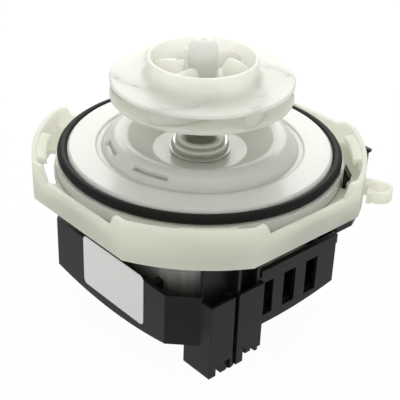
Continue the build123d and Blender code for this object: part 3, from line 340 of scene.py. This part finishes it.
def moulded(name, tone, edge, roughness, wander=(1.0, 0.006), see_through=0.0):
    """Natural plastic, slightly cloudy.

    wander is the share of light that spreads inside it and how far, in metres,
    and see_through is the share that passes straight through.
    """
    wander_share, wander_reach = wander
    shader = Shader(name)
    cloud = shader.noise(scale=60, detail=3)
    wear = shader.noise(scale=190)
    grain = shader.noise(scale=2600, detail=1)
    return shader.finish(
        see_through=see_through,
        tint=INNER_LIGHT,
        Base_Color=shader.blend(cloud, shade(tone, factor=0.97), tone),
        Roughness=roughness + 0.12 * wear,
        Subsurface_Weight=wander_share,
        Subsurface_Radius=INNER_LIGHT,
        Subsurface_Scale=wander_reach,
        Specular_IOR_Level=0.52,
        Normal=shader.bump(grain, depth=0.00002, normal=shader.soft_edges(edge)),
    )


def black_moulded(name, tone, edge):
    """Glass-filled black plastic: fine grain, faint grey flow marks."""
    shader = Shader(name)
    flow = shader.noise(scale=110, detail=4, stretch=(1, 1, 0.35))
    grain = shader.noise(scale=3200, detail=2)
    return shader.finish(
        Base_Color=shader.blend(flow, tone, shade(tone, factor=1.7)),
        Roughness=0.30 + 0.16 * flow,
        Specular_IOR_Level=0.16,
        Normal=shader.bump(grain, depth=0.00003, normal=shader.soft_edges(edge)),
    )


def rubber(name, tone):
    """Smooth moulded rubber with a faint bloom."""
    shader = Shader(name)
    bloom = shader.noise(scale=240, detail=4)
    grain = shader.noise(scale=1800, detail=2)
    return shader.finish(
        Base_Color=shader.blend(bloom, tone, shade(tone, factor=1.6)),
        Roughness=0.40 + 0.2 * bloom,
        Specular_IOR_Level=0.07,
        Normal=shader.bump(grain, depth=0.00002),
    )


def turned(name, tone, roughness, pitch, depth):
    """Metal with fine rings from turning or pressing about the shaft axis."""
    shader = Shader(name)
    x, y, z = shader.parts()
    reach = (x * x + y * y) ** 0.5
    rings = ((reach + z) * (math.tau / pitch)).call("SINE")
    stain = shader.noise(scale=320, detail=3)
    return shader.finish(
        Base_Color=shader.blend(stain, shade(tone, factor=0.88), tone),
        Metallic=1.0,
        Roughness=roughness + 0.1 * stain,
        Normal=shader.bump(rings, depth),
    )


def stacked(name, tone, pitch):
    """Edges of stacked sheets: dark seams, uneven sheets, dark strips and a little rust."""
    dull = shade(tone, factor=0.8)
    clean = shade(tone, factor=1.15)
    seam_shadow = shade(tone, factor=0.25)
    strip_shadow = shade(tone, factor=0.35)
    shader = Shader(name)
    height = shader.parts()[2]
    seams = (height * (math.tau / pitch)).call("SINE")
    uneven = shader.noise(scale=9, detail=2, stretch=(1, 1, 120))
    # A power keeps only the peaks of the noise
    strips = shader.noise(scale=170, detail=2, stretch=(1, 1, 0.02)) ** 4.0
    rust = shader.noise(scale=420, detail=5) ** 5.0
    bright = shader.blend(uneven, dull, clean)
    edges = shader.blend(0.5 + 0.5 * seams, seam_shadow, bright)
    sheet = shader.blend(3.0 * strips, strip_shadow, edges)
    return shader.finish(
        Base_Color=shader.blend(rust, sheet, RUST),
        Metallic=0.75,
        Roughness=0.42 + 0.25 * uneven,
        Normal=shader.bump(seams, depth=0.00003),
    )


def wound(name, tone, pitch):
    """Enamelled wire laid turn by turn round each pole."""
    shader = Shader(name)
    x, y = shader.parts()[:2]
    along = x.call("ABSOLUTE").call("MAXIMUM", y.call("ABSOLUTE"))
    turns = (along * (math.tau / pitch)).call("SINE")
    lacquer = shader.noise(scale=500, detail=3)
    return shader.finish(
        Base_Color=shader.blend(lacquer, shade(tone, factor=0.7), tone),
        Metallic=0.55,
        Roughness=0.25 + 0.15 * lacquer,
        Coat_Weight=0.5,
        Normal=shader.bump(turns, depth=0.00012),
    )


def mottled(name, tone, scale, roughness, metallic, depth, contrast):
    """A speckled finish for carbon, ceramic, cast, sintered, plated and felted pieces."""
    shader = Shader(name)
    speckle = shader.noise(scale, detail=5)
    return shader.finish(
        Base_Color=shader.blend(speckle, shade(tone, contrast), shade(tone, 2 - contrast)),
        Metallic=metallic,
        Roughness=roughness + 0.15 * speckle,
        Normal=shader.bump(speckle, depth),
    )


def satin_film(name, tone):
    """Satin film of a bare rating plate."""
    shader = Shader(name)
    haze = shader.noise(scale=150, detail=3)
    ripple = shader.noise(scale=420, detail=2)
    return shader.finish(
        Base_Color=shader.blend(haze, shade(tone, factor=0.96), tone),
        Roughness=0.30 + 0.12 * haze,
        Normal=shader.bump(ripple, depth=0.00003),
    )


def dress(material, *names):
    """Give CAD nodes a material."""
    for name in names:
        for material_slot in NODES[name].material_slots:
            material_slot.material = material


def arc(centre, radius, start, end, count=8):
    """Points along an arc in the plane of radius and height, from start to end in degrees."""
    turns = [math.radians(start + (end - start) * step / count) for step in range(count + 1)]
    return [
        (centre[0] + radius * math.cos(turn), centre[1] + radius * math.sin(turn))
        for turn in turns
    ]


def turn_profile(form, profile):
    """Turn an outline of radius and height about the shaft axis."""
    points = [form.verts.new((radius, 0, height)) for radius, height in profile]
    edges = [form.edges.new(pair) for pair in zip(points, points[1:])]
    bmesh.ops.spin(
        form,
        geom=points + edges,
        cent=(0, 0, 0),
        axis=(0, 0, 1),
        angle=math.tau,
        steps=TURN_STEPS,
        use_merge=True,
    )


def circle_through(first, second, third):
    """The centre of the circle through three points in plan."""
    ax, ay = second[0] - first[0], second[1] - first[1]
    bx, by = third[0] - first[0], third[1] - first[1]
    double = 2 * (ax * by - ay * bx)
    across = (by * (ax * ax + ay * ay) - ay * (bx * bx + by * by)) / double
    along = (ax * (bx * bx + by * by) - bx * (ax * ax + ay * ay)) / double
    return Vector((first[0] + across, first[1] + along, 0))


def piece(name, form, material, body):
    """Turn a finished form into an object that rides on a body."""
    bmesh.ops.remove_doubles(form, verts=form.verts, dist=MERGE_DISTANCE)
    bmesh.ops.recalc_face_normals(form, faces=form.faces)
    mesh = bpy.data.meshes.new(name)
    form.to_mesh(mesh)
    form.free()
    mesh.shade_smooth()
    mesh.set_sharp_from_angle(angle=math.radians(SHARP_DEGREES))
    mesh.materials.append(material)
    made = bpy.data.objects.new(name, mesh)
    bpy.context.scene.collection.objects.link(made)
    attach(made, body)
    return made


def vane_height(sizes, reach):
    """The height of a vane's upper edge at a distance from the axis."""
    if reach > sizes.eye_radius:
        return sizes.upper_disc
    edge = (*VANE_EDGE, (sizes.eye_radius, VANE_EDGE_AT_NECK))
    stretches = zip(edge, edge[1:])
    (near, low), (far, high) = next(pair for pair in stretches if reach <= pair[1][0])
    share = max(0.0, (reach - near) / (far - near))
    return sizes.vane_top + low + (high - low) * share


def add_vane(form, sizes, heading):
    """One curved vane, swept about the centre of its arc and cut to its heights."""
    stations = (
        (sizes.nose_radius - VANE_ROOT, 0),
        (VANE_MIDDLE, math.radians(VANE_MIDDLE_LEAN)),
        (sizes.vane_reach, sizes.vane_sweep),
    )
    plan = [
        (reach * math.cos(heading - lean), reach * math.sin(heading - lean))
        for reach, lean in stations
    ]
    centre = circle_through(*plan)
    start = Vector((*plan[0], 0)) - centre
    end = Vector((*plan[2], 0)) - centre
    swing = -start.angle(end) * VANE_OVERRUN
    if start.cross(end).z > 0:
        swing = -swing
    half = start.normalized() * sizes.vane_thickness / 2
    foot = sizes.disc_top - VANE_SINK
    corners = [
        form.verts.new(centre + start + side * half + Vector((0, 0, height)))
        for side, height in ((-1, foot), (1, foot), (1, sizes.vane_top), (-1, sizes.vane_top))
    ]
    ring = [form.edges.new((corners[place - 1], corners[place])) for place in range(4)]
    swept = bmesh.ops.spin(
        form, geom=corners + ring, cent=centre, axis=(0, 0, 1), angle=swing, steps=VANE_STEPS
    )
    ends = ring + [item for item in swept["geom_last"] if isinstance(item, bmesh.types.BMEdge)]
    bmesh.ops.holes_fill(form, edges=ends, sides=4)
    for point in form.verts:
        if point.co.z > sizes.disc_top:
            point.co.z = vane_height(sizes, point.co.xy.length)
        if point.co.xy.length > sizes.vane_reach:
            point.co.xy *= sizes.vane_reach / point.co.xy.length


def impeller_profile(sizes):
    """The outline of the disc, the boss below it and the nose above it."""
    nose = sizes.nose_radius
    crown = sizes.nose_round
    bore = 0.00405
    bore_top = 0.04725
    boot_pocket = 0.00905
    boot_pocket_top = 0.0180
    boss = 0.0124
    boss_flare = 0.0160
    boss_bottom = 0.0152
    foot_round = 0.0023
    lip = 0.0003
    return [
        (0, bore_top),
        (bore, bore_top),
        (bore, boot_pocket_top),
        (boot_pocket, boot_pocket_top),
        (boot_pocket, boss_bottom),
        (boss, boss_bottom),
        (boss_flare, sizes.disc_bottom),
        *arc((sizes.disc_radius - lip, sizes.disc_bottom + lip), lip, start=-90, end=0, count=3),
        *arc((sizes.disc_radius - lip, sizes.disc_top - lip), lip, start=0, end=90, count=3),
        *arc((nose + foot_round, sizes.disc_top + foot_round), foot_round, start=-90, end=-180),
        *arc((nose - crown, sizes.nose_top - crown), crown, start=0, end=90, count=12),
        *arc((sizes.gate_radius + lip, sizes.nose_top + lip), lip, start=-90, end=-180, count=3),
        *((sizes.gate_radius * share, sizes.nose_top + rise) for share, rise in GATE_MARK),
    ]


def cup_profile(sizes):
    """Outline of the pressed cup: foot, bowl, ledge, dome and mouth, then back down inside."""
    lip = sizes.sheet / 2
    bowl_centre = (sizes.bowl_radius - sizes.bowl_round, sizes.bowl_height)
    dome_centre = (sizes.dome_radius - sizes.dome_round, sizes.dome_height)
    outline = [
        *arc((sizes.foot_radius - lip, sizes.foot_height + lip), lip, start=-90, end=90),
        *arc(bowl_centre, sizes.bowl_round, start=-35, end=48),
        *arc(dome_centre, sizes.dome_round, start=-10, end=80),
        (sizes.mouth_radius, sizes.mouth_height),
        (sizes.mouth_radius, sizes.mouth_height - sizes.sheet),
        (sizes.bore_radius, sizes.bore_top),
        (sizes.bore_radius, sizes.floor_height),
        (sizes.floor_radius, sizes.floor_height),
        (sizes.floor_radius, sizes.floor_height - sizes.sheet),
        (sizes.press_radius, sizes.floor_height - sizes.sheet),
        (sizes.press_radius, sizes.foot_height),
    ]
    return outline + outline[:1]


def add_coil(form, sizes):
    """A round wire spun upward about the shaft axis."""
    start = Vector((sizes.coil_radius, 0, sizes.floor_height + sizes.coil_wire / 2))
    steps = sizes.coil_turns * COIL_STEPS
    rise = (sizes.coil_top - sizes.floor_height - sizes.coil_wire) / steps
    upright = Matrix.Translation(start) @ Matrix.Rotation(math.pi / 2, 4, "X")
    bmesh.ops.create_circle(
        form, segments=WIRE_SIDES, radius=sizes.coil_wire / 2, matrix=upright
    )
    bmesh.ops.spin(
        form,
        geom=form.verts[:] + form.edges[:],
        cent=(0, 0, 0),
        dvec=(0, 0, rise),
        axis=(0, 0, 1),
        angle=math.tau * sizes.coil_turns,
        steps=steps,
    )
    bmesh.ops.holes_fill(form, edges=form.edges, sides=WIRE_SIDES)


def make_cup(sizes, sheet):
    """The seal's pressed cup."""
    form = bmesh.new()
    turn_profile(form, cup_profile(sizes))
    cup = piece("pressed_cup", form, sheet, "housing")
    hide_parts("seal_cup")


def make_spring(sizes, wire):
    """The seal's spring, built in one fixed shape."""
    form = bmesh.new()
    add_coil(form, sizes)
    spring = piece("coil_spring", form, wire, "housing")
    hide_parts("seal_spring")
    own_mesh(spring)


class PUMP_OT_impeller(bpy.types.Operator):
    """Make the impeller's lower half with its domed nose and its sloping vanes"""

    bl_idname = "pump.impeller"
    bl_label = "Impeller"

    def execute(self, context):
        sizes = context.scene.pump_impeller
        tones = context.scene.pump_plastics
        plastic = moulded(
            "impeller_plastic",
            tones.impeller_white,
            tones.edge_radius / 2,
            roughness=0.3,
            see_through=0.5,
        )
        dress(plastic, "impeller_base", "impeller_shroud")
        form = bmesh.new()
        for count in range(sizes.vane_count):
            vane = bmesh.new()
            add_vane(vane, sizes, sizes.vane_start + math.tau / sizes.vane_count * count)
            mesh = bpy.data.meshes.new("vane")
            vane.to_mesh(mesh)
            vane.free()
            form.from_mesh(mesh)
            bpy.data.meshes.remove(mesh)
        turn_profile(form, impeller_profile(sizes))
        lower = piece("impeller_lower_half", form, plastic, "rotor")
        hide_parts("impeller_base")
        return {"FINISHED"}


class PUMP_OT_wet_side(bpy.types.Operator):
    """Finish the flange and the cover plate in natural plastic"""

    bl_idname = "pump.wet_side"
    bl_label = "Wet side"

    def execute(self, context):
        tones = context.scene.pump_plastics
        flange = moulded(
            "flange_plastic",
            tones.flange_white,
            tones.edge_radius,
            roughness=0.34,
            wander=(0.6, 0.004),
            see_through=0.6,
        )
        dress(flange, "bayonet_flange")
        plate = moulded(
            "plate_plastic",
            tones.plate_white,
            tones.edge_radius,
            roughness=0.18,
            see_through=0.25,
        )
        dress(plate, "cover_plate")
        return {"FINISHED"}


class PUMP_OT_rubber(bpy.types.Operator):
    """Finish the sealing ring and the seat's boot in black rubber"""

    bl_idname = "pump.rubber"
    bl_label = "Rubber parts"

    def execute(self, context):
        black = rubber("seal_rubber", context.scene.pump_plastics.ring_black)
        dress(black, "sealing_ring", "seal_boot")
        return {"FINISHED"}


class PUMP_OT_shaft_seal(bpy.types.Operator):
    """Make the seal's cup and spring, and finish the shaft, carbon face and ceramic seat"""

    bl_idname = "pump.shaft_seal"
    bl_label = "Shaft and seal"

    def execute(self, context):
        tones = context.scene.pump_metals
        sizes = context.scene.pump_seal
        steel = tones.shaft_steel
        sheet = turned("cup_steel", tones.cup_steel, roughness=0.28, pitch=0.0009, depth=0.000004)
        make_cup(sizes, sheet)
        wire = turned("spring_wire", steel, roughness=0.3, pitch=0.0003, depth=0.00001)
        make_spring(sizes, wire)
        ground = turned("ground_steel", steel, roughness=0.22, pitch=0.0004, depth=0.000006)
        dress(ground, "shaft")
        retainer = turned("retainer_steel", steel, roughness=0.3, pitch=0.0012, depth=0.00001)
        dress(retainer, "front_retainer", "rear_retainer")
        carbon = mottled(
            "carbon",
            CARBON,
            scale=1500,
            roughness=0.3,
            metallic=0.0,
            depth=0.00001,
            contrast=0.6,
        )
        dress(carbon, "seal_face")
        ceramic = mottled(
            "ceramic",
            CERAMIC,
            scale=900,
            roughness=0.12,
            metallic=0.0,
            depth=0.000002,
            contrast=0.95,
        )
        dress(ceramic, "seal_seat")
        return {"FINISHED"}


class PUMP_OT_black_plastic(bpy.types.Operator):
    """Finish the motor frame and the front bracket in black plastic"""

    bl_idname = "pump.black_plastic"
    bl_label = "Black plastic"

    def execute(self, context):
        tones = context.scene.pump_plastics
        black = black_moulded("frame_plastic", tones.frame_black, tones.edge_radius)
        dress(black, "motor_frame", "front_bracket")
        return {"FINISHED"}


class PUMP_OT_motor(bpy.types.Operator):
    """Finish the stator, rotor, coils, bushes and fasteners"""

    bl_idname = "pump.motor"
    bl_label = "Motor"

    def execute(self, context):
        tones = context.scene.pump_metals
        plastics = context.scene.pump_plastics
        sheets = stacked("sheet_stack", tones.sheet_steel, tones.sheet_pitch)
        dress(sheets, "stator_stack", "rotor_core")
        coils = wound("coil_wire", tones.copper, tones.wire_pitch)
        dress(coils, "windings")
        cream = moulded(
            "bobbin_plastic", plastics.bobbin_cream, plastics.edge_radius / 2, roughness=0.45
        )
        dress(cream, "coil_bobbins", "thrust_washers")
        cast = mottled(
            "cast_aluminium",
            tones.aluminium,
            scale=700,
            roughness=0.4,
            metallic=1.0,
            depth=0.00004,
            contrast=0.85,
        )
        dress(cast, "front_end_ring", "rear_end_ring")
        sintered = mottled(
            "sintered_bronze",
            tones.bronze,
            scale=2400,
            roughness=0.4,
            metallic=0.9,
            depth=0.00004,
            contrast=0.55,
        )
        dress(sintered, "front_bush", "rear_bush")
        felt = mottled(
            "oiled_felt",
            OILED_FELT,
            scale=1600,
            roughness=0.8,
            metallic=0.0,
            depth=0.0002,
            contrast=0.5,
        )
        dress(felt, "front_felt", "rear_felt")
        zinc = mottled(
            "zinc_plate",
            tones.zinc,
            scale=380,
            roughness=0.28,
            metallic=1.0,
            depth=0.000006,
            contrast=0.9,
        )
        dress(zinc, "bracket_screws", "stator_bolts")
        tin = mottled(
            "tin_plate",
            tones.tin,
            scale=520,
            roughness=0.22,
            metallic=1.0,
            depth=0.000004,
            contrast=0.92,
        )
        dress(tin, "terminal_blades")
        return {"FINISHED"}


class PUMP_OT_rating_plate(bpy.types.Operator):
    """Finish the bare rating plate as a satin film"""

    bl_idname = "pump.rating_plate"
    bl_label = "Rating plate"

    def execute(self, context):
        film = satin_film("label_film", context.scene.pump_plastics.label_white)
        dress(film, "label_plate")
        return {"FINISHED"}


class PUMP_OT_stage(bpy.types.Operator):
    """Make the floor, the lamps, the world and the camera"""

    bl_idname = "pump.stage"
    bl_label = "Stage"

    def execute(self, context):
        studio = context.scene.pump_studio
        make_floor(studio)
        make_world(context.scene, studio)
        make_lamps(studio)
        make_camera(context.scene, studio)
        context.scene.view_settings.view_transform = "Standard"
        return {"FINISHED"}


def seen_directly(shader):
    """1 for what the camera, a mirror or a clear surface sees, else 0."""
    path = shader.tree.nodes.new("ShaderNodeLightPath")
    kinds = ("Is Camera Ray", "Is Glossy Ray", "Is Transmission Ray")
    camera, mirror, clear = [Socket(shader, path.outputs[kind]) for kind in kinds]
    return camera.call("MAXIMUM", mirror).call("MAXIMUM", clear)


def make_floor(studio):
    """A pale floor that looks white and keeps a soft shadow."""
    shader = Shader("floor_paper")
    paper = shader.node("ShaderNodeBsdfDiffuse", {}, {"Color": (*studio.floor_tone, 1)})
    plain = shader.node("ShaderNodeEmission", {}, {"Color": WHITE, "Strength": 1.0})
    share = FLOOR_WHITE * seen_directly(shader)
    mixed = shader.node("ShaderNodeMixShader", {}, {0: share, 1: paper, 2: plain})
    shader.tree.links.new(mixed.link, shader.output.inputs["Surface"])
    sheet = bmesh.new()
    bmesh.ops.create_grid(sheet, x_segments=1, y_segments=1, size=studio.floor_size / 2)
    bmesh.ops.translate(sheet, verts=sheet.verts, vec=(0, 0, CAD_BOX[0].z))
    mesh = bpy.data.meshes.new("floor")
    sheet.to_mesh(mesh)
    sheet.free()
    mesh.materials.append(shader.material)
    floor = bpy.data.objects.new("floor", mesh)
    bpy.context.scene.collection.objects.link(floor)


def make_world(scene, studio):
    """A surround that looks white and lights the pump at the ambient level."""
    world = bpy.data.worlds.new("surround")
    world.use_nodes = True
    scene.world = world
    tree = world.node_tree
    tree.nodes.clear()
    output = tree.nodes.new("ShaderNodeOutputWorld")
    path = tree.nodes.new("ShaderNodeLightPath")
    level = tree.nodes.new("ShaderNodeMix")
    level.inputs[2].default_value = studio.ambient
    level.inputs[3].default_value = 1.0
    back = tree.nodes.new("ShaderNodeBackground")
    back.inputs["Color"].default_value = WHITE
    tree.links.new(path.outputs["Is Camera Ray"], level.inputs[0])
    tree.links.new(level.outputs[0], back.inputs["Strength"])
    tree.links.new(back.outputs[0], output.inputs["Surface"])


def make_lamps(studio):
    """Lamps behind the pump, above it and on its left."""
    for name, place, size, power in (
        ("back_lamp", (-0.62, 0.57, 0.55), 0.8, studio.back_power),
        ("top_lamp", (0.05, -0.05, 1.0), 0.9, studio.top_power),
        ("left_lamp", (-0.68, -0.66, 0.28), 0.7, studio.left_power),
    ):
        lamp = bpy.data.lights.new(name, "AREA")
        lamp.shape = "DISK"
        lamp.size = size
        lamp.energy = power
        holder = bpy.data.objects.new(name, lamp)
        holder.location = place
        holder.rotation_euler = (-Vector(place)).to_track_quat("-Z", "Y").to_euler()
        bpy.context.scene.collection.objects.link(holder)


def make_camera(scene, studio):
    """The camera at the photograph's place."""
    heading, pitch, roll = studio.camera_heading, studio.camera_pitch, studio.camera_roll
    forward = Vector(
        (math.cos(heading) * math.cos(pitch), math.sin(heading) * math.cos(pitch), -math.sin(pitch))
    )
    right = forward.cross(Vector((0, 0, 1))).normalized()
    upward = right.cross(forward)
    rolled_right = right * math.cos(roll) + upward * math.sin(roll)
    rolled_up = upward * math.cos(roll) - right * math.sin(roll)
    turn = Matrix((rolled_right, rolled_up, -forward)).transposed()
    place = Vector((studio.camera_x, studio.camera_y, studio.camera_z))
    lens = bpy.data.cameras.new("camera")
    lens.lens = studio.camera_lens
    lens.shift_x = studio.camera_shift
    camera = bpy.data.objects.new("camera", lens)
    camera.matrix_world = Matrix.Translation(place) @ turn.to_4x4()
    scene.collection.objects.link(camera)
    scene.camera = camera


OPERATORS = (
    PUMP_OT_wet_side,
    PUMP_OT_impeller,
    PUMP_OT_rubber,
    PUMP_OT_shaft_seal,
    PUMP_OT_black_plastic,
    PUMP_OT_motor,
    PUMP_OT_rating_plate,
    PUMP_OT_stage,
)

GROUPS = {
    "pump_plastics": PumpPlastics,
    "pump_metals": PumpMetals,
    "pump_impeller": PumpImpeller,
    "pump_seal": PumpSeal,
    "pump_studio": PumpStudio,
}


class PUMP_PT_panel(bpy.types.Panel):
    """The pump's pieces and studio"""

    bl_idname = "PUMP_PT_panel"
    bl_label = "Circulation pump"
    bl_space_type = "VIEW_3D"
    bl_region_type = "UI"
    bl_category = "Pump"

    def draw(self, context):
        for name in GROUPS:
            group = getattr(context.scene, name)
            column = self.layout.column()
            for key in group.__annotations__:
                column.prop(group, key)
        for operator in OPERATORS:
            self.layout.operator(operator.bl_idname)


CLASSES = (*GROUPS.values(), *OPERATORS, PUMP_PT_panel)


def register():
    """Add the classes and their values to the scene."""
    for item in CLASSES:
        bpy.utils.register_class(item)
    for name, group in GROUPS.items():
        setattr(bpy.types.Scene, name, bpy.props.PointerProperty(type=group))


def unregister():
    """Take the classes and their values away again."""
    for name in GROUPS:
        delattr(bpy.types.Scene, name)
    for item in reversed(CLASSES):
        bpy.utils.unregister_class(item)


def main():
    """Build the looks."""
    register()
    for operator in OPERATORS:
        group, name = operator.bl_idname.split(".")
        getattr(getattr(bpy.ops, group), name)()


if __name__ == "__main__":
    main()
